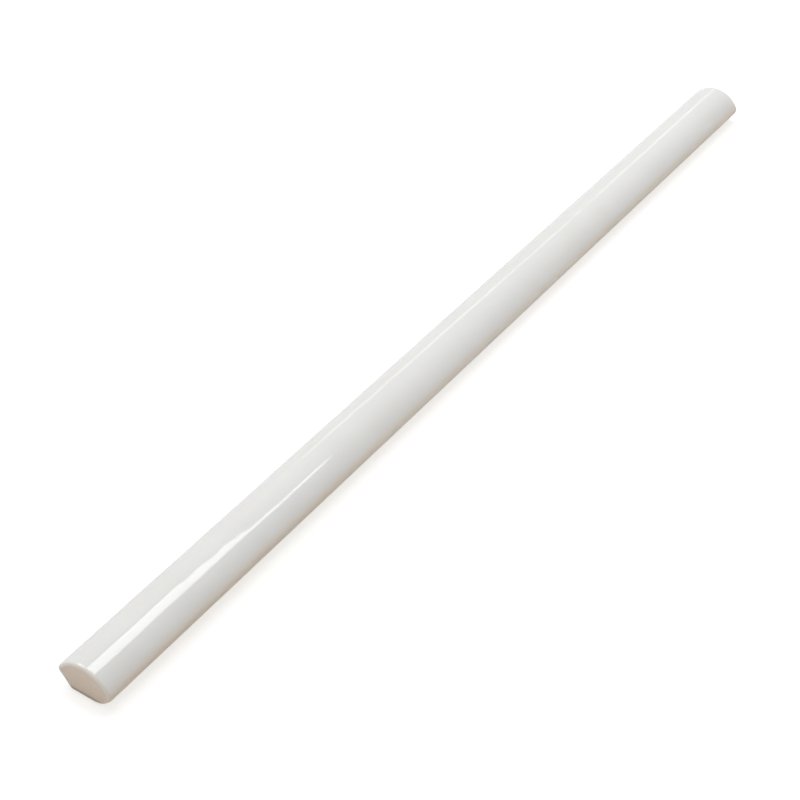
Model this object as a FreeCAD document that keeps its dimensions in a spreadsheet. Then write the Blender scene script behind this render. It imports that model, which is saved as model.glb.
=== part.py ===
# Bullnose tile: a slim glazed ceramic trim, fired as one piece.
# Millimetres. X runs along the tile, -Y is the rounded nose side, +Y the back side, +Z is up.
# The origin is at the middle of the flat underside on which the tile lies.
import FreeCAD, Part
import math
import os
import Sketcher

# Driving dimensions, each with the words that explain it.
DIMENSIONS = [
    ("tile_length", 305.0, "square-cut end to square-cut end"),
    ("tile_width", 15.0, "widest part, from the nose to the back shoulder"),
    ("tile_height", 9.2, "flat underside to the crown of the dome"),
    ("crown_offset", 0.2, "crown's distance behind the middle of the width"),
    ("shoulder_drop", 4.3, "crown down to where the dome reaches the full width at the back"),
    ("nose_drop", 4.8, "crown down to where the dome reaches the full width at the nose"),
    ("nose_radius", 2.0, "round lip where the dome turns under at the nose"),
    ("toe_radius", 5.0, "large round under the nose, down to the flat underside"),
    ("shoulder_radius", 1.2, "soft edge where the dome meets the back side"),
    ("nose_setback", 5.1, "nose in to the near edge of the flat underside, seen from above"),
    ("back_setback", 3.9, "back shoulder in to the near edge of the flat underside"),
    ("heel_radius", 1.0, "soft edge where the back side meets the flat underside"),
    ("end_arris", 0.8, "soft edge round both ends"),
]

# Sizes that follow from them. The dome is two arcs that meet level at the crown.
DERIVED = [
    ("half_width", "=tile_width / 2"),
    ("back_reach", "=half_width - crown_offset"),
    ("front_reach", "=half_width + crown_offset"),
    ("back_dome_radius", "=(back_reach^2 + shoulder_drop^2) / (2 * shoulder_drop)"),
    ("front_dome_radius", "=(front_reach^2 + nose_drop^2) / (2 * nose_drop)"),
    ("back_dome_level", "=tile_height - back_dome_radius"),
    ("front_dome_level", "=tile_height - front_dome_radius"),
    ("shoulder_place", "=half_width - shoulder_radius"),
    ("nose_place", "=nose_radius - half_width"),
    ("bed_back", "=half_width - back_setback"),
    ("bed_front", "=nose_setback - half_width"),
]

# Order of the section's edges, which is also their number in the sketch.
BED, HEEL, BACK_SIDE, SHOULDER, BACK_DOME, FRONT_DOME, NOSE, NOSE_SIDE, TOE = range(9)
START, END, CENTRE = 1, 2, 3
SKETCH_ORIGIN, X_AXIS = -1, -1


def make_sheet(doc):
    """Put the sizes in a spreadsheet, one named cell each."""
    sheet = doc.addObject("Spreadsheet::Sheet", "Sizes")
    rows = DIMENSIONS + [(name, formula, "") for name, formula in DERIVED]
    for row, (name, content, meaning) in enumerate(rows, start=1):
        sheet.set("A%d" % row, name)
        sheet.set("B%d" % row, str(content))
        sheet.set("C%d" % row, meaning)
        sheet.setAlias("B%d" % row, name)
    doc.recompute()
    return sheet


def origin_plane(body, role):
    """Find one of the body's own base planes."""
    for feature in body.Origin.OriginFeatures:
        if feature.Role == role:
            return feature
    raise RuntimeError("no plane " + role)


def shared_tangent(centre_a, radius_a, centre_b, radius_b):
    """Touching points of the straight edge that leaves round a and meets round b,
    with both rounds on its left."""
    step = centre_b - centre_a
    turn = math.asin((radius_a - radius_b) / step.Length)
    angle = math.atan2(step.y, step.x) + turn
    outward = FreeCAD.Vector(math.sin(angle), -math.cos(angle), 0)
    return centre_a + outward * radius_a, centre_b + outward * radius_b


def small_round_in_dome(dome_centre, dome_radius, place, radius):
    """Centre of a small round that touches the dome from inside, and the point where it does."""
    room = dome_radius - radius
    rise = math.sqrt(room**2 - (place - dome_centre.x) ** 2)
    centre = FreeCAD.Vector(place, dome_centre.y + rise, 0)
    outward = (centre - dome_centre).normalize()
    return centre, dome_centre + outward * dome_radius


def arc_between(centre, first, last):
    """Arc about centre, anticlockwise from the first point to the last."""
    circle = Part.Circle(centre, FreeCAD.Vector(0, 0, 1), (first - centre).Length)
    begin = math.atan2(first.y - centre.y, first.x - centre.x)
    finish = math.atan2(last.y - centre.y, last.x - centre.x)
    if finish <= begin:
        finish += 2 * math.pi
    return Part.ArcOfCircle(circle, begin, finish)


def section_edges(sizes):
    """The edges of the section, anticlockwise from the nose end of the flat underside.
    In the sketch the first axis is the tile's Y and the second its Z."""
    crown = FreeCAD.Vector(sizes.crown_offset, sizes.tile_height, 0)
    back_dome = FreeCAD.Vector(sizes.crown_offset, sizes.back_dome_level, 0)
    front_dome = FreeCAD.Vector(sizes.crown_offset, sizes.front_dome_level, 0)
    shoulder, shoulder_top = small_round_in_dome(
        back_dome, sizes.back_dome_radius, sizes.shoulder_place, sizes.shoulder_radius
    )
    nose, nose_top = small_round_in_dome(
        front_dome, sizes.front_dome_radius, sizes.nose_place, sizes.nose_radius
    )
    bed_back = FreeCAD.Vector(sizes.bed_back, 0, 0)
    bed_front = FreeCAD.Vector(sizes.bed_front, 0, 0)
    heel = bed_back + FreeCAD.Vector(0, sizes.heel_radius, 0)
    toe = bed_front + FreeCAD.Vector(0, sizes.toe_radius, 0)
    back_low, back_high = shared_tangent(heel, sizes.heel_radius, shoulder, sizes.shoulder_radius)
    nose_high, nose_low = shared_tangent(nose, sizes.nose_radius, toe, sizes.toe_radius)
    return [
        Part.LineSegment(bed_front, bed_back),
        arc_between(heel, bed_back, back_low),
        Part.LineSegment(back_low, back_high),
        arc_between(shoulder, back_high, shoulder_top),
        arc_between(back_dome, shoulder_top, crown),
        arc_between(front_dome, crown, nose_top),
        arc_between(nose, nose_top, nose_high),
        Part.LineSegment(nose_high, nose_low),
        arc_between(toe, nose_low, bed_front),
    ]


def draw_section(body, sizes):
    """Sketch of the section, square to the tile's length, with every size tied to the sheet."""
    sketch = body.newObject("Sketcher::SketchObject", "Section")
    sketch.AttachmentSupport = [(origin_plane(body, "YZ_Plane"), "")]
    sketch.MapMode = "FlatFace"
    edges = section_edges(sizes)
    sketch.addGeometry(edges, False)

    for edge in range(len(edges)):
        following = (edge + 1) % len(edges)
        sketch.addConstraint(Sketcher.Constraint("Tangent", edge, END, following, START))
    sketch.addConstraint(Sketcher.Constraint("PointOnObject", BED, START, X_AXIS))
    sketch.addConstraint(Sketcher.Constraint("Horizontal", BED))

    rounds = [
        (HEEL, "heel_radius"),
        (SHOULDER, "shoulder_radius"),
        (BACK_DOME, "back_dome_radius"),
        (FRONT_DOME, "front_dome_radius"),
        (NOSE, "nose_radius"),
        (TOE, "toe_radius"),
    ]
    for edge, size in rounds:
        rule = Sketcher.Constraint("Radius", edge, getattr(sizes, size))
        number = sketch.addConstraint(rule)
        sketch.setExpression("Constraints[%d]" % number, "Sizes." + size)

    places = [
        ("DistanceX", BED, START, "bed_front"),
        ("DistanceX", BED, END, "bed_back"),
        ("DistanceX", SHOULDER, CENTRE, "shoulder_place"),
        ("DistanceX", BACK_DOME, CENTRE, "crown_offset"),
        ("DistanceX", BACK_DOME, END, "crown_offset"),
        ("DistanceY", BACK_DOME, CENTRE, "back_dome_level"),
        ("DistanceX", NOSE, CENTRE, "nose_place"),
    ]
    for way, edge, point, size in places:
        distance = getattr(sizes, size)
        rule = Sketcher.Constraint(way, SKETCH_ORIGIN, START, edge, point, distance)
        number = sketch.addConstraint(rule)
        sketch.setExpression("Constraints[%d]" % number, "Sizes." + size)
    return sketch


def end_edges(shape):
    """Names of the edges that lie wholly in the two end faces."""
    ends = (shape.BoundBox.XMin, shape.BoundBox.XMax)
    names = []
    for number, edge in enumerate(shape.Edges, start=1):
        places = [vertex.X for vertex in edge.Vertexes]
        if any(all(abs(place - end) < 0.01 for place in places) for end in ends):
            names.append("Edge%d" % number)
    return names


def make_tile(doc, sizes):
    """The tile: its section drawn out both ways from the middle, with soft edges at the ends."""
    body = doc.addObject("PartDesign::Body", "BullnoseTile")
    body.Label = "bullnose_tile"

    bar = body.newObject("PartDesign::Pad", "Bar")
    bar.Profile = draw_section(body, sizes)
    bar.SideType = "Symmetric"
    bar.setExpression("Length", "Sizes.tile_length")
    doc.recompute()

    soft_ends = body.newObject("PartDesign::Fillet", "SoftEnds")
    soft_ends.Base = (bar, end_edges(bar.Shape))
    soft_ends.setExpression("Radius", "Sizes.end_arris")
    body.Tip = soft_ends
    return body


def check(doc, pieces):
    """Stop if any object failed to build or any piece is not one sound solid."""
    for item in doc.Objects:
        if "Invalid" in item.State or "Error" in item.State:
            raise RuntimeError("%s: %s" % (item.Name, item.State))
    for piece in pieces:
        if piece.Shape.isNull() or not piece.Shape.isValid():
            raise RuntimeError(piece.Label + " has no sound shape")
        if len(piece.Shape.Solids) != 1:
            raise RuntimeError(piece.Label + " is not one solid")


doc = FreeCAD.newDocument("bullnose_tile")
tile = make_tile(doc, make_sheet(doc))
doc.recompute()
check(doc, [tile])

os.makedirs("parts", exist_ok=True)
tile.Shape.exportStep("parts/%s.step" % tile.Label)
box = tile.Shape.optimalBoundingBox()
print("%s %.3f x %.3f x %.3f mm" % (tile.Label, box.XLength, box.YLength, box.ZLength))
print("volume %.1f mm3" % tile.Shape.Volume)
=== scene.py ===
import math

import bmesh
import bpy
from mathutils import Matrix, Vector


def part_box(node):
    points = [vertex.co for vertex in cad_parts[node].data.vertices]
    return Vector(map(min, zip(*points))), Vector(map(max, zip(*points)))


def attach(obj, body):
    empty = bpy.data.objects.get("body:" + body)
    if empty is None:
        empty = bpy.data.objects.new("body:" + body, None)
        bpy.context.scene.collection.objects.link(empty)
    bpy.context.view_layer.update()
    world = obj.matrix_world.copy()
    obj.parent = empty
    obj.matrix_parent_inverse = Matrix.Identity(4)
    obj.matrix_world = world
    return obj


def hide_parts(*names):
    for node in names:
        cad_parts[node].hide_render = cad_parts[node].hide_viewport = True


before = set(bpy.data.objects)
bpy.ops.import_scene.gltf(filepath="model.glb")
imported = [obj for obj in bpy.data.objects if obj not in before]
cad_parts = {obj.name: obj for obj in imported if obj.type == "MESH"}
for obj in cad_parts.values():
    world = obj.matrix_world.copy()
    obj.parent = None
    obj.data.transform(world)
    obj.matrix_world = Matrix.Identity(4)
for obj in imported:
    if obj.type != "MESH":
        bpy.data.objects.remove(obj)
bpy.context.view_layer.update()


# The tile's body. The real one is a strip of buff clay, pressed to this section, cut square at
# both ends while soft, and fired. Here its flat underside is laid down first, and the long edge
# is then carried round the section: heel, back side, shoulder, dome, nose, nose side, toe.
MM = 0.001
QUARTER = math.pi / 2
WHOLE = 2 * math.pi
low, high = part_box("bullnose_tile")
length = high.x - low.x
height = high.z - low.z
half_width = (high.y - low.y) / 2
crown_offset = 0.2 * MM
shoulder_drop = 4.3 * MM
nose_drop = 4.8 * MM
nose_radius = 2.0 * MM
toe_radius = 5.0 * MM
shoulder_radius = 1.2 * MM
heel_radius = 1.0 * MM
nose_setback = 5.1 * MM
back_setback = 3.9 * MM
bed_back = half_width - back_setback
bed_front = nose_setback - half_width
seam = 0.002 * MM

# The glaze runs down the back side by its fall, and over the dome as far as the nose. On both
# sides it ends in a narrow row of faces, the step.
glaze_fall = 1.2 * MM
glaze_step = 0.1 * MM

# Rows of faces along the tile. The underside with its heel and toe has as many as the top, and
# the two sides as many as each other, so that a square grid fits each end.
slices = 240
heel_rows = 6
toe_rows = 16
back_low_rows = 10
back_high_rows = 4
shoulder_rows = 8
back_dome_rows = 20
front_dome_rows = 22
nose_rows = 9
step_rows = 1
nose_side_rows = back_low_rows + step_rows + back_high_rows
top_rows = shoulder_rows + back_dome_rows + front_dome_rows + step_rows + nose_rows
bed_rows = top_rows - heel_rows - toe_rows


def dome(reach, drop):
    """Centre and radius of a dome arc that is level at the crown and drops over its reach."""
    radius = (reach**2 + drop**2) / (2 * drop)
    return Vector((crown_offset, height - radius)), radius


def round_under(dome_centre, dome_radius, place, radius):
    """Centre of a small round that touches the dome from inside."""
    rise = math.sqrt((dome_radius - radius) ** 2 - (place - dome_centre.x) ** 2)
    return Vector((place, dome_centre.y + rise))


def bearing(step):
    """Direction of a step in the section, in radians from the tile's +Y towards +Z."""
    return math.atan2(step.y, step.x)


def straight(first, first_radius, second, second_radius):
    """Bearing and length of the straight side between two rounds that lie on its left."""
    step = second - first
    fall = first_radius - second_radius
    return bearing(step) + math.asin(fall / step.length), math.sqrt(step.length**2 - fall**2)


def select_points(wanted):
    """In edit mode, leave selected just the points whose place passes the test."""
    shape = bmesh.from_edit_mesh(bpy.context.object.data)
    for point in shape.verts:
        point.select = wanted(point.co)
    shape.select_flush_mode()
    bmesh.update_edit_mesh(bpy.context.object.data)


def carry_round(centre, sweep, rows):
    """Turn the selected long edge about a round's centre, leaving rows of faces behind it."""
    bpy.ops.mesh.spin(steps=rows, angle=sweep, center=(0, *centre), axis=(-1, 0, 0))


def carry_straight(heading, distance, rows):
    """Draw the selected long edge out along a straight side."""
    move = (0, math.cos(heading) * distance / rows, math.sin(heading) * distance / rows)
    bpy.ops.mesh.extrude_repeat(steps=rows, offset=move)


back_centre, back_radius = dome(half_width - crown_offset, shoulder_drop)
front_centre, front_radius = dome(half_width + crown_offset, nose_drop)
shoulder = round_under(back_centre, back_radius, half_width - shoulder_radius, shoulder_radius)
nose = round_under(front_centre, front_radius, nose_radius - half_width, nose_radius)
heel = Vector((bed_back, heel_radius))
toe = Vector((bed_front, toe_radius))
back_rise, back_length = straight(heel, heel_radius, shoulder, shoulder_radius)
nose_fall, nose_length = straight(nose, nose_radius, toe, toe_radius)
shoulder_top = bearing(shoulder - back_centre)
nose_top = bearing(nose - front_centre)
step_turn = glaze_step / nose_radius

bpy.ops.object.select_all(action="DESELECT")
bpy.ops.mesh.primitive_grid_add(
    size=1,
    x_subdivisions=slices,
    y_subdivisions=bed_rows,
    location=(0, (bed_back + bed_front) / 2, 0),
)
tile = bpy.context.object
tile.name = tile.data.name = "glazed_trim_tile"
tile.scale = (length, bed_back - bed_front, 1)
bpy.ops.object.transform_apply(location=True, rotation=False, scale=True)

bpy.ops.object.mode_set(mode="EDIT")
bpy.ops.mesh.select_mode(type="VERT")
select_points(lambda place: place.y > bed_back - seam)
carry_round(heel, back_rise, heel_rows)
carry_straight(back_rise, back_length - glaze_fall - glaze_step, back_low_rows)
carry_straight(back_rise, glaze_step, step_rows)
carry_straight(back_rise, glaze_fall, back_high_rows)
carry_round(shoulder, shoulder_top + QUARTER - back_rise, shoulder_rows)
carry_round(back_centre, QUARTER - shoulder_top, back_dome_rows)
carry_round(front_centre, nose_top - QUARTER, front_dome_rows)
carry_round(nose, step_turn, step_rows)
carry_round(nose, WHOLE + nose_fall - nose_top - QUARTER - step_turn, nose_rows)
carry_straight(nose_fall, nose_length, nose_side_rows)
carry_round(toe, -nose_fall, toe_rows)
bpy.ops.mesh.select_all(action="SELECT")
bpy.ops.mesh.remove_doubles(threshold=seam)


# The cut ends. Square-cut soft clay is wiped with a sponge before it is glazed, which leaves a
# soft arris all round each end. The end is closed, its rim rounded, and the bare face inside
# the lip of glaze is set back a hair and filled with a square grid between underside and top.
end_arris = 0.8 * MM
arris_rows = 6
lip_width = 0.12 * MM
lip_depth = 0.06 * MM
rim = end_arris + lip_width
bare_end = length / 2 - lip_depth


def join_level(centre, radius, heading):
    """Level inside the lip at which a round runs into a straight side."""
    return centre.y - (radius - rim) * math.cos(heading)


heel_level = join_level(heel, heel_radius, back_rise)
shoulder_level = join_level(shoulder, shoulder_radius, back_rise)
toe_level = join_level(toe, toe_radius, nose_fall)
nose_level = join_level(nose, nose_radius, nose_fall)


def on_underside_or_top(place):
    """Whether a point of the bare face's outline is on the underside or the top, joins included."""
    if place.y > 0:
        return place.z < heel_level + seam or place.z > shoulder_level - seam
    return place.z < toe_level + seam or place.z > nose_level - seam


def stands_at(end):
    """Test for the points that lie that far along the tile."""
    return lambda place: abs(place.x - end) < seam


for end in (low.x, high.x):
    select_points(stands_at(end))
    bpy.ops.mesh.edge_face_add()
bpy.ops.mesh.select_all(action="SELECT")
bpy.ops.mesh.normals_make_consistent(inside=False)
for side in (-1, 1):
    on_end = stands_at(side * length / 2)
    on_bare_face = stands_at(side * bare_end)
    select_points(on_end)
    bpy.ops.mesh.bevel(offset=end_arris, segments=arris_rows, clamp_overlap=False)
    select_points(on_end)
    bpy.ops.mesh.inset(thickness=lip_width, depth=-lip_depth)
    bpy.ops.mesh.delete(type="ONLY_FACE")
    select_points(lambda place: on_bare_face(place) and on_underside_or_top(place))
    bpy.ops.mesh.fill_grid()
bpy.ops.object.mode_set(mode="OBJECT")


# The glaze. Liquid glass is poured over the top, pools to a skin that is never quite level, and
# is wiped off the ends and the lower sides, where it stops in a thin cream edge that wanders.
# Bare clay lies a glaze's thickness lower, and is never quite smooth.
glaze_skin = 0.04 * MM
thin_share = 0.35
pool_width = 2.1 * MM
end_thinning = 1.0 * MM
wander = 0.5 * MM
wander_reach = 0.35 * MM
wander_blobs = 4 * MM
wave_depth = 0.08 * MM
wave_blobs = 14 * MM
ripple_depth = 0.035 * MM
ripple_blobs = 5 * MM
clay_relief = 0.04 * MM
clay_blobs = 1.2 * MM
cut_relief = 0.05 * MM
cut_blobs = 1.5 * MM
sharpest_smooth = math.radians(40)
nose_line = nose.y + nose_radius * math.sin(nose_top + step_turn / 2)
back_join = shoulder.y - shoulder_radius * math.cos(back_rise)
back_line = back_join - (glaze_fall + glaze_step / 2) * math.sin(back_rise)
bare_rise = (nose_line - heel_radius) / 2


def above_line(place):
    """How far a point lies above the glaze's lower edge on its own side of the tile."""
    return place.z - (back_line if place.y > crown_offset else nose_line)


def ramp(share):
    """A soft step from 0 to 1."""
    share = min(1.0, max(0.0, share))
    return share * share * (3 - 2 * share)


def is_bare_end(place):
    """Whether a point is on the bare face of one of the ends."""
    return abs(abs(place.x) - bare_end) < seam


def glaze_thickness(place):
    """Share of the full glaze at a point: none on bare clay, thin beside the glaze's edges."""
    if is_bare_end(place) or above_line(place) < 0:
        return 0.0
    from_edge = ramp(above_line(place) / pool_width)
    from_end = ramp((length / 2 - abs(place.x)) / end_thinning)
    return thin_share + (1 - thin_share) * min(from_edge, from_end)


def bare_side(place):
    """1 on the bare sides right under the glaze, down to 0 at the heel's height and below."""
    if above_line(place) > 0:
        return 0.0
    return ramp((place.z - heel_radius) / bare_rise)


def near_line(side):
    """Weight for the rows beside the glaze's lower edge, on the side with that sign of Y."""

    def weight(place):
        if is_bare_end(place) or (place.y - crown_offset) * side <= 0:
            return 0.0
        return ramp(1 - abs(above_line(place)) / wander_reach)

    return weight


def weigh(name, share):
    """Keep how far each point belongs to a part of the surface, as a vertex group."""
    group = tile.vertex_groups.new(name=name)
    for point in tile.data.vertices:
        group.add([point.index], share(point.co), "REPLACE")


def clouds(name, size, layers=0):
    """A cloudy height pattern whose blobs are about that size, with finer layers over them."""
    pattern = bpy.data.textures.new(name, "CLOUDS")
    pattern.noise_scale = size
    pattern.noise_depth = layers
    return pattern


def push(group, strength, direction="NORMAL", pattern=None, middle=0.0):
    """Move one part of the surface by how far a pattern is above its middle, for good."""
    move = tile.modifiers.new(group, "DISPLACE")
    move.vertex_group = group
    move.strength = strength
    move.direction = direction
    move.mid_level = middle
    move.texture = pattern
    bpy.ops.object.modifier_apply(modifier=move.name)


def mark(name, share):
    """Keep how far each point belongs to a part of the surface, for the finish to read."""
    layer = tile.data.attributes.new(name, "FLOAT", "POINT")
    layer.data.foreach_set("value", [float(share(point.co)) for point in tile.data.vertices])


mark("glaze", glaze_thickness)
mark("cut", is_bare_end)
weigh("glazed", glaze_thickness)
weigh("bare_sides", bare_side)
weigh("nose_line", near_line(-1))
weigh("back_line", near_line(1))
weigh("cut_ends", lambda place: float(is_bare_end(place)))

# The glaze's edge wanders up and down along the surface, whose slope there gives its heading.
edge_pattern = clouds("glaze_edge", wander_blobs, layers=1)
for group, heading in (("nose_line", nose_top + QUARTER), ("back_line", back_rise)):
    push(group, wander * math.cos(heading), "Y", edge_pattern, middle=0.5)
    push(group, wander * math.sin(heading), "Z", edge_pattern, middle=0.5)
push("bare_sides", -glaze_skin)
push("glazed", -wave_depth, pattern=clouds("glaze_waves", wave_blobs))
push("glazed", -ripple_depth, pattern=clouds("glaze_ripples", ripple_blobs))
push("bare_sides", -clay_relief, pattern=clouds("clay_face", clay_blobs, layers=2), middle=0.5)
push("cut_ends", -cut_relief, pattern=clouds("cut_face", cut_blobs, layers=2))
bpy.ops.object.shade_smooth_by_angle(angle=sharpest_smooth)


# The finish: one fired surface, white glaze over the top and bare buff clay below and at the
# ends. Thin glaze lets the clay through as cream, and the bare clay beside it keeps a pale wash.
# The clay is painted darker towards the floor, a painted shade, and the foot of each end darker
# still, a painted contact shadow. The glaze holds a few pinholes.
WHITE_GLAZE = (0.812, 0.81, 0.792, 1)
GREY_GLAZE = (0.797, 0.794, 0.774, 1)
THIN_GLAZE = (0.80, 0.74, 0.66, 1)
GLAZE_WASH = (0.81, 0.77, 0.715, 1)
BUFF_CLAY = (0.70, 0.59, 0.49, 1)
PALE_CLAY = (0.78, 0.685, 0.59, 1)
DARK_GRAIN = (0.38, 0.29, 0.22, 1)
# Painted shade: the dark foot of each end stands in for the contact shadow where it meets the
# floor.
SHADED_FOOT = (0.21, 0.16, 0.12, 1)
glass_bending = 1.52

# Patterns, in blobs to the metre. The drag marks are drawn out along the tile.
tone_scale = 60.0
peel_scale = 420.0
pit_scale = 110.0
blotch_scale = 240.0
grain_scale = 1800.0
drag_scale = 900.0
drag_shape = (0.08, 1.0, 1.0)
fine_share = 0.55

# The range over which each thing comes in or fades, as a share of the full glaze, as a height of
# its pattern, or as a place on the tile.
glaze_covers = (0.05, 0.30)
glaze_fills = (thin_share, 0.95)
grey_tones = (0.35, 0.65)
pale_blotches = (0.3, 0.7)
dark_grains = (0.62, 0.72)
pit_edge = (0.010, 0.022)
pits_open = (0.86, 0.87)
# Painted shade: over these heights the clay is painted from darker near the floor to paler higher
# up.
painted_shade_levels = (0.5 * MM, 8 * MM)
wash_places = (-0.4 * length, 0.0)
# Where the painted contact shadow at the foot of each end lies.
foot_levels = (0.0, 1.8 * MM)
foot_places = (length / 2 - end_arris, length / 2 - end_arris / 2)

# How strongly each shows in the colour, the roughness and the relief.
# Share of the clay's paleness that is painted shade by height; the rest is random blotches.
painted_shade_share = 0.7
least_wash = 0.4
added_wash = 0.5
grain_tint = 0.22
# How dark the painted contact shadow at the foot of each end is.
foot_shade_depth = 0.95
pit_tint = 0.45
glaze_roughness = 0.045
tone_roughness = 0.02
pit_roughness = 0.4
clay_roughness = 0.78
grain_roughness = 0.12
relief_depth = 0.03 * MM
peel_relief = 0.06
grain_relief = 0.8
drag_relief = 0.5


class Wire:
    """A socket in a material. Sums and products of wires become Math nodes."""

    def __init__(self, tree, socket=None):
        self.tree = tree
        self.socket = socket

    def node(self, kind, inputs=None, output=0, **settings):
        """Add a node: its settings first, then the values or wires of its sockets."""
        made = self.tree.nodes.new(kind)
        for name, value in settings.items():
            setattr(made, name, value)
        for name, value in (inputs or {}).items():
            if isinstance(value, Wire):
                self.tree.links.new(value.socket, made.inputs[name])
            else:
                made.inputs[name].default_value = value
        return Wire(self.tree, made.outputs[output])

    def maths(self, operation, *values):
        """Add a Math node that works on wires and numbers."""
        return self.node("ShaderNodeMath", dict(enumerate(values)), operation=operation)

    def __add__(self, other):
        return self.maths("ADD", self, other)

    def __sub__(self, other):
        return self.maths("SUBTRACT", self, other)

    def __rsub__(self, other):
        return self.maths("SUBTRACT", other, self)

    def __mul__(self, other):
        return self.maths("MULTIPLY", self, other)

    __radd__ = __add__
    __rmul__ = __mul__


glazed_clay = bpy.data.materials.new("white_glaze_over_buff_clay")
glazed_clay.use_nodes = True
tree = glazed_clay.node_tree
shader = tree.nodes["Principled BSDF"]
wire = Wire(tree)


def soften(value, start, end):
    """0 below start, 1 above end, and a soft step between."""
    sockets = {"Value": value, "From Min": start, "From Max": end}
    return wire.node("ShaderNodeMapRange", sockets, interpolation_type="SMOOTHSTEP")


def blend(share, first, second):
    """First colour at 0, second at 1. A Mix node keeps its colours at sockets 6 and 7."""
    sockets = {0: share, 6: first, 7: second}
    return wire.node("ShaderNodeMix", sockets, output=2, data_type="RGBA")


def speckle(place, scale, detail=2.0):
    """Cloudy noise from 0 to 1 on the tile's own coordinates."""
    sockets = {"Vector": place, "Scale": scale, "Detail": detail, "Roughness": fine_share}
    return wire.node("ShaderNodeTexNoise", sockets)


place = wire.node("ShaderNodeTexCoord", output="Object")
end_to_end = wire.node("ShaderNodeSeparateXYZ", {"Vector": place}, output=0)
level = wire.node("ShaderNodeSeparateXYZ", {"Vector": place}, output=2)
drawn_out = wire.node("ShaderNodeMapping", {"Vector": place, "Scale": drag_shape})
thick = wire.node("ShaderNodeAttribute", output="Fac", attribute_name="glaze")
cut = wire.node("ShaderNodeAttribute", output="Fac", attribute_name="cut")
covered = soften(thick, *glaze_covers)
full = soften(thick, *glaze_fills)

tone = speckle(place, tone_scale)
glaze_colour = blend(soften(tone, *grey_tones), WHITE_GLAZE, GREY_GLAZE)
glaze_colour = blend(full, THIN_GLAZE, glaze_colour)

pit_sockets = {"Vector": place, "Scale": pit_scale}
pit_distance = wire.node("ShaderNodeTexVoronoi", pit_sockets, feature="F1")
pit_colour = wire.node("ShaderNodeTexVoronoi", pit_sockets, output="Color", feature="F1")
chosen = wire.node("ShaderNodeSeparateColor", {"Color": pit_colour}, output=0)
pinhole = (1 - soften(pit_distance, *pit_edge)) * soften(chosen, *pits_open)
glaze_colour = blend(pinhole * pit_tint, glaze_colour, DARK_GRAIN)

grain = speckle(place, grain_scale, detail=3.0)
blotch = soften(speckle(place, blotch_scale), *pale_blotches)
# Painted shade: the clay is darker low down and paler higher up, mixed with random pale blotches.
blotches_and_painted_shade = soften(level, *painted_shade_levels) * painted_shade_share + blotch * (1 - painted_shade_share)
clay_colour = blend(blotches_and_painted_shade, BUFF_CLAY, PALE_CLAY)
# The wash is weakest near the near end and full from the middle to the far end.
wash = least_wash + soften(end_to_end, *wash_places) * added_wash
clay_colour = blend((1 - cut) * wash, clay_colour, GLAZE_WASH)
clay_colour = blend(soften(grain, *dark_grains) * grain_tint, clay_colour, DARK_GRAIN)
# Painted shade: the foot of each end darkens towards the floor, a painted contact shadow.
outer = soften(wire.maths("ABSOLUTE", end_to_end), *foot_places)
foot_shade = outer * (1 - soften(level, *foot_levels))
clay_colour = blend(foot_shade * foot_shade_depth, clay_colour, SHADED_FOOT)
tree.links.new(blend(covered, clay_colour, glaze_colour).socket, shader.inputs["Base Color"])

gloss = glaze_roughness + tone * tone_roughness + pinhole * pit_roughness
dry = clay_roughness + grain * grain_roughness
tree.links.new((covered * gloss + (1 - covered) * dry).socket, shader.inputs["Roughness"])

peel = speckle(place, peel_scale, detail=1.0)
drag = speckle(drawn_out, drag_scale)
glazed_bumps = peel * peel_relief - pinhole
bare_bumps = grain * grain_relief + drag * drag_relief
relief = covered * glazed_bumps + (1 - covered) * bare_bumps
bump_sockets = {"Height": relief, "Strength": 1.0, "Distance": relief_depth}
tree.links.new(wire.node("ShaderNodeBump", bump_sockets).socket, shader.inputs["Normal"])
shader.inputs["IOR"].default_value = glass_bending
tile.data.materials.append(glazed_clay)

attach(tile, "root")
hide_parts("bullnose_tile")


# The floor: a sheet in pale matt paint, far larger than the view, a hair under the tile. For the
# eye it glows, and more so far off, so that it reads as plain white with the tile's soft shadow
# on it. It lights the underside that lies on it, and is clear from below.
floor_size = 12.0
floor_drop = 0.02 * MM
FLOOR_PAINT = (0.73, 0.695, 0.67, 1)
MIRRORED_PAINT = (0.70, 0.695, 0.71, 1)
SEEN_PAINT = (0.42, 0.43, 0.47, 1)
SEEN_GLOW = (1.0, 0.985, 0.93, 1)
floor_glow = 0.695
distant_glow = 0.40
mirrored_floor_glow = 0.04
touching_glow = 0.35
distant_places = (0.3, 0.9)
mirrored_places = (0.0, 5 * MM)
touching_reach = (5 * floor_drop, 10 * floor_drop)

bpy.ops.mesh.primitive_plane_add(size=floor_size, location=(0, 0, -floor_drop))
floor = bpy.context.object
floor.name = "studio_floor"
floor_paint = bpy.data.materials.new("pale_studio_paint")
floor_paint.use_nodes = True
tree = floor_paint.node_tree
tree.nodes.remove(tree.nodes["Principled BSDF"])
wire = Wire(tree)
camera_ray = wire.node("ShaderNodeLightPath", output="Is Camera Ray")
glossy_ray = wire.node("ShaderNodeLightPath", output="Is Glossy Ray")
ray_length = wire.node("ShaderNodeLightPath", output="Ray Length")
place = wire.node("ShaderNodeTexCoord", output="Object")
distance = wire.node("ShaderNodeVectorMath", {0: place}, output="Value", operation="LENGTH")
front_to_back = wire.node("ShaderNodeSeparateXYZ", {"Vector": place}, output=1)

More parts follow.
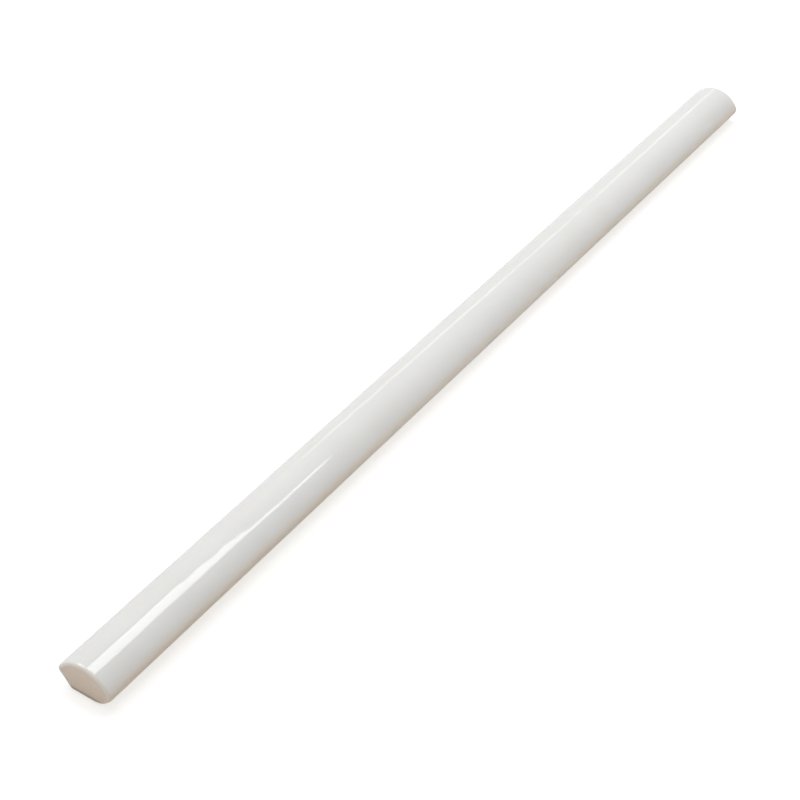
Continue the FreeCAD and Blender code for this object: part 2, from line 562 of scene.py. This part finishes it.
# The paint's colour depends on who looks: warm where it lights the tile, cooler where the glaze
# mirrors the floor behind it, and cool for the eye, where the glow makes up for it.
behind = soften(front_to_back, *mirrored_places)
paint = blend(glossy_ray * behind, FLOOR_PAINT, MIRRORED_PAINT)
paint = blend(camera_ray, paint, SEEN_PAINT)
matt = wire.node("ShaderNodeBsdfDiffuse", {"Color": paint})
distant = soften(distance, *distant_places)
touching = 1 - soften(ray_length, *touching_reach)
seen = camera_ray * (floor_glow + distant * distant_glow) + glossy_ray * mirrored_floor_glow
strength = seen + touching * touching_glow
glow = wire.node("ShaderNodeEmission", {"Strength": strength, "Color": SEEN_GLOW})
lit_paint = wire.node("ShaderNodeAddShader", {0: matt, 1: glow})
from_below = wire.node("ShaderNodeNewGeometry", output="Backfacing")
clear = wire.node("ShaderNodeBsdfTransparent")
sheet = wire.node("ShaderNodeMixShader", {0: from_below, 1: lit_paint, 2: clear})
tree.links.new(sheet.socket, tree.nodes["Material Output"].inputs["Surface"])
floor.data.materials.append(floor_paint)


# The studio light: a pale room all round, a large lamp behind the tile and a weak fill before its
# near end. A softbox high over the far end is mirrored as the wide streak, which two round lamps
# draw out to a point. Four thin tubes far behind the tile are mirrored as the fine line.
room_light = 0.50
mirrored_room = 0.55
lamp_place = Vector((0.15, 0.95, 1.3))
lamp_size = (0.8, 0.8)
lamp_glow = 3.0
fill_place = Vector((-1.4, 0.1, 0.3))
fill_size = (0.8, 0.8)
fill_glow = 0.7
softbox_place = Vector((0.349, 0.070, 1.0))
softbox_size = (0.430, 0.530)
softbox_turn = math.radians(7.5)
softbox_glow = 3.8
round_lamp_glow = 2.8
ROUND_LAMPS = {
    "inner_round_lamp": (Vector((0.597, -0.120, 1.0)), (0.070, 0.150)),
    "outer_round_lamp": (Vector((0.656, -0.160, 1.0)), (0.140, 0.136)),
}
tube_glow = 2.7
TUBES = {
    "left_tube": (Vector((1.145, 1.450, 0.765)), Vector((1.400, 1.032, 0.930)), 0.055),
    "middle_tube": (Vector((1.400, 1.032, 0.930)), Vector((1.508, 0.855, 1.000)), 0.038),
    "short_tube": (Vector((1.500, 0.918, 0.955)), Vector((1.512, 0.928, 0.925)), 0.040),
    "right_tube": (Vector((1.535, 0.880, 0.920)), Vector((1.680, 0.765, 0.775)), 0.055),
}
UP = Vector((0, 0, 1))
TO_BACK = Vector((0, 1, 0))

# Watts to the square metre of a lamp's frame for a glow of 1.
watts_for_glow = 4


def area_light(name, place, face, side, size, glow, shape="RECTANGLE"):
    """A flat lamp: where it is, the way it faces, the way its second side runs, its brightness."""
    bpy.ops.object.light_add(type="AREA")
    lamp = bpy.context.object
    lamp.name = name
    lamp.data.shape = shape
    lamp.data.size, lamp.data.size_y = size
    lamp.data.energy = glow * watts_for_glow * size[0] * size[1]
    back = -face.normalized()
    up = (side - side.project(back)).normalized()
    turn = Matrix((up.cross(back), up, back)).transposed().to_4x4()
    lamp.matrix_world = Matrix.Translation(place) @ turn


softbox_side = Vector((-math.sin(softbox_turn), math.cos(softbox_turn), 0))
area_light("softbox", softbox_place, -UP, softbox_side, softbox_size, softbox_glow)
for name, (place, size) in ROUND_LAMPS.items():
    area_light(name, place, -UP, TO_BACK, size, round_lamp_glow, "ELLIPSE")
area_light("large_lamp", lamp_place, -lamp_place, UP, lamp_size, lamp_glow)
area_light("fill", fill_place, -fill_place, UP, fill_size, fill_glow)
for name, (first, last, thickness) in TUBES.items():
    middle = (first + last) / 2
    tube_size = (thickness, (last - first).length)
    area_light(name, middle, -middle, last - first, tube_size, tube_glow)

room = bpy.data.worlds.new("pale_room")
room.use_nodes = True
bpy.context.scene.world = room
tree = room.node_tree
wire = Wire(tree)
camera_ray = wire.node("ShaderNodeLightPath", output="Is Camera Ray")
glossy_ray = wire.node("ShaderNodeLightPath", output="Is Glossy Ray")
seen = camera_ray * (1 - room_light) + glossy_ray * (mirrored_room - room_light)
tree.links.new((room_light + seen).socket, tree.nodes["Background"].inputs["Strength"])
tree.nodes["Background"].inputs["Color"].default_value = (1, 1, 1, 1)
bpy.context.scene.view_settings.view_transform = "Standard"


# The camera: a long lens before the near end and above it, looking along the tile and down on
# it. It stands, turns and leans so that the tile's outlines fall where the photograph has them.
lens = 82.1
sensor = 36.0
nearest_seen = 0.01
camera_place = Vector((-0.33757, -0.19717, 0.30203))
looks_toward = math.radians(32.71)
looks_down = math.radians(39.455)
leans = math.radians(1.94)

bpy.ops.object.camera_add()
camera = bpy.context.object
camera.data.lens = lens
camera.data.sensor_width = sensor
camera.data.clip_start = nearest_seen
heading = Matrix.Rotation(looks_toward - QUARTER, 4, "Z")
tilt = Matrix.Rotation(QUARTER - looks_down, 4, "X")
roll = Matrix.Rotation(leans, 4, "Z")
camera.matrix_world = Matrix.Translation(camera_place) @ heading @ tilt @ roll
bpy.context.scene.camera = camera
